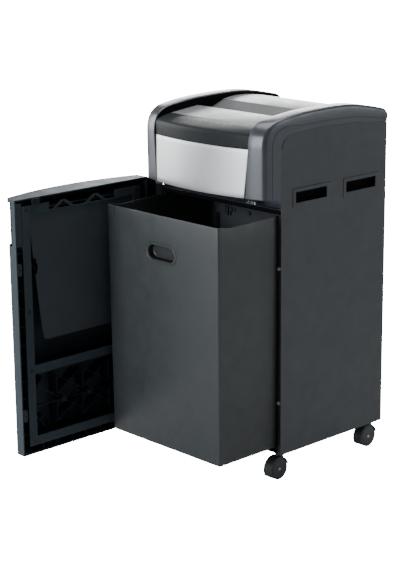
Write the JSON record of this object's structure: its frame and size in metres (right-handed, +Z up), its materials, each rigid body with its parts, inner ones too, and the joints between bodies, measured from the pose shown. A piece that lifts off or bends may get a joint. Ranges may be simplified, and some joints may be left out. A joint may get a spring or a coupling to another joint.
{
  "type": "paper shredder",
  "caption": "Large office paper shredder: steel cabinet on castors, silver cutting head with top feed slot, hinged front door and pull-out waste bin.",
  "frame": {"origin": "on the floor below the middle of the cabinet, between the side panels", "axes": "+Z up, -Y the front with the door and the bin, +X to the right side seen from the front"},
  "size_m": [0.453, 0.7637, 0.8278],
  "materials": {
    "cabinet_paint": "fine-textured dark grey powder coat",
    "zinc_steel": "zinc-plated steel",
    "rubber": "matt soft rubber",
    "dark_plastic": "matt moulded plastic",
    "arm_paint": "satin metallic slate",
    "silver": "satin silver",
    "control_gloss": "high gloss dark",
    "icon_print": "printed pale grey",
    "black_plastic": "fine matt",
    "bronze": "sintered bronze",
    "cutter_steel": "ground hardened steel",
    "gear_nylon": "natural nylon",
    "motor_steel": "dull grey paint",
    "capacitor_case": "satin",
    "circuit_board": "solder mask green",
    "door_plastic": "moulded slate plastic",
    "liner_plastic": "smooth dark sheet",
    "bin_plastic": "dark grey moulded plastic",
    "castor_plastic": "moulded nylon"
  },
  "bodies": {
    "cabinet": {"base_tray": "cabinet_paint", "left_side_panel": "cabinet_paint", "right_side_panel": "cabinet_paint", "back_panel": "cabinet_paint", "front_crossbar": "cabinet_paint", "bin_rails": "dark_plastic", "cabinet_screws": "zinc_steel", "rubber_bumpers": "rubber", "head_chassis": "dark_plastic", "left_arm": "arm_paint", "right_arm": "arm_paint", "front_fascia": "silver", "control_panel": "control_gloss", "touch_icons": "icon_print", "deck_plate": "silver", "throat_guide": "dark_plastic", "rear_hood": "silver", "rear_cover": "dark_plastic", "latch_strike": "dark_plastic", "interlock_switch": "dark_plastic", "cord_gland": "black_plastic", "cutter_plates": "zinc_steel", "cutter_bearings": "bronze", "stripper_combs": "dark_plastic", "motor": "motor_steel", "capacitor": "capacitor_case", "control_board": "circuit_board", "cabinet_hinge_brackets": "cabinet_paint", "hinge_pins": "zinc_steel"},
    "door": {"door_shell": "door_plastic", "door_ribs": "door_plastic", "door_frame": "door_plastic", "door_liner": "liner_plastic", "door_grip": "door_plastic", "door_latch": "dark_plastic", "door_pads": "rubber", "door_screws": "zinc_steel", "door_hinge_knuckles": "dark_plastic"},
    "bin": {"bin_shell": "bin_plastic"},
    "front_cutter_roll": {"front_cutter": "cutter_steel", "front_cutter_gear": "cutter_steel"},
    "rear_cutter_roll": {"rear_cutter": "cutter_steel", "rear_cutter_gear": "cutter_steel"},
    "reduction": {"reduction_gear": "gear_nylon"},
    "rotor": {"motor_pinion": "zinc_steel", "motor_fan": "dark_plastic"},
    "plunger": {"interlock_plunger": "zinc_steel"},
    "rocker": {"power_rocker": "black_plastic"},
    "front_left_castor": {"front_left_castor_hood": "castor_plastic", "front_left_castor_axle": "zinc_steel"},
    "front_left_castor_roll": {"front_left_castor_wheels": "castor_plastic"},
    "front_right_castor": {"front_right_castor_hood": "castor_plastic", "front_right_castor_axle": "zinc_steel"},
    "front_right_castor_roll": {"front_right_castor_wheels": "castor_plastic"},
    "rear_left_castor": {"rear_left_castor_hood": "castor_plastic", "rear_left_castor_axle": "zinc_steel"},
    "rear_left_castor_roll": {"rear_left_castor_wheels": "castor_plastic"},
    "rear_right_castor": {"rear_right_castor_hood": "castor_plastic", "rear_right_castor_axle": "zinc_steel"},
    "rear_right_castor_roll": {"rear_right_castor_wheels": "castor_plastic"}
  },
  "joints": [
    {"name": "door_hinge", "type": "hinge", "parent": "cabinet", "child": "door", "pos_m": [-0.2065, -0.1905, 0.36], "axis": [0, 0, 1], "range_deg": [-75, 6.5]},
    {"name": "bin_slide", "type": "slide", "parent": "cabinet", "child": "bin", "axis": [0, 1, 0], "range_m": [-0.14, 0.172]},
    {"name": "front_left_castor_swivel", "type": "hinge", "parent": "cabinet", "child": "front_left_castor", "pos_m": [-0.153, -0.141, 0.06], "axis": [0, 0, 1], "continuous": true},
    {"name": "front_left_castor_spin", "type": "hinge", "parent": "front_left_castor", "child": "front_left_castor_roll", "pos_m": [-0.153, -0.149, 0.025], "axis": [1, 0, 0], "continuous": true},
    {"name": "front_right_castor_swivel", "type": "hinge", "parent": "cabinet", "child": "front_right_castor", "pos_m": [0.153, -0.141, 0.06], "axis": [0, 0, 1], "continuous": true},
    {"name": "front_right_castor_spin", "type": "hinge", "parent": "front_right_castor", "child": "front_right_castor_roll", "pos_m": [0.153, -0.149, 0.025], "axis": [1, 0, 0], "continuous": true},
    {"name": "rear_left_castor_swivel", "type": "hinge", "parent": "cabinet", "child": "rear_left_castor", "pos_m": [-0.153, 0.16, 0.06], "axis": [0, 0, 1], "continuous": true},
    {"name": "rear_left_castor_spin", "type": "hinge", "parent": "rear_left_castor", "child": "rear_left_castor_roll", "pos_m": [-0.153, 0.152, 0.025], "axis": [1, 0, 0], "continuous": true},
    {"name": "rear_right_castor_swivel", "type": "hinge", "parent": "cabinet", "child": "rear_right_castor", "pos_m": [0.153, 0.16, 0.06], "axis": [0, 0, 1], "continuous": true},
    {"name": "rear_right_castor_spin", "type": "hinge", "parent": "rear_right_castor", "child": "rear_right_castor_roll", "pos_m": [0.153, 0.152, 0.025], "axis": [1, 0, 0], "continuous": true},
    {"name": "front_cutter_spin", "type": "hinge", "parent": "cabinet", "child": "front_cutter_roll", "pos_m": [0, -0.099, 0.712], "axis": [1, 0, 0], "continuous": true},
    {"name": "rear_cutter_spin", "type": "hinge", "parent": "cabinet", "child": "rear_cutter_roll", "pos_m": [0, -0.061, 0.712], "axis": [1, 0, 0], "continuous": true},
    {"name": "reduction_spin", "type": "hinge", "parent": "cabinet", "child": "reduction", "pos_m": [-0.13, -0.03187, 0.7226], "axis": [1, 0, 0], "continuous": true},
    {"name": "motor_spin", "type": "hinge", "parent": "cabinet", "child": "rotor", "pos_m": [-0.05, 0.01042, 0.70721], "axis": [1, 0, 0], "continuous": true},
    {"name": "interlock_press", "type": "slide", "parent": "cabinet", "child": "plunger", "axis": [0, 1, 0], "range_m": [0, 0.004], "stiffness_N_per_m": 200, "springref_m": -0.002},
    {"name": "power_rock", "type": "hinge", "parent": "cabinet", "child": "rocker", "pos_m": [0.104, 0.162, 0.7], "axis": [1, 0, 0], "range_deg": [-6, 6]}
  ],
  "couplings": [
    {"joint": "rear_cutter_spin", "follows": "front_cutter_spin", "ratio": -1},
    {"joint": "reduction_spin", "follows": "front_cutter_spin", "ratio": 1.5833},
    {"joint": "motor_spin", "follows": "front_cutter_spin", "ratio": -6.3333}
  ]
}
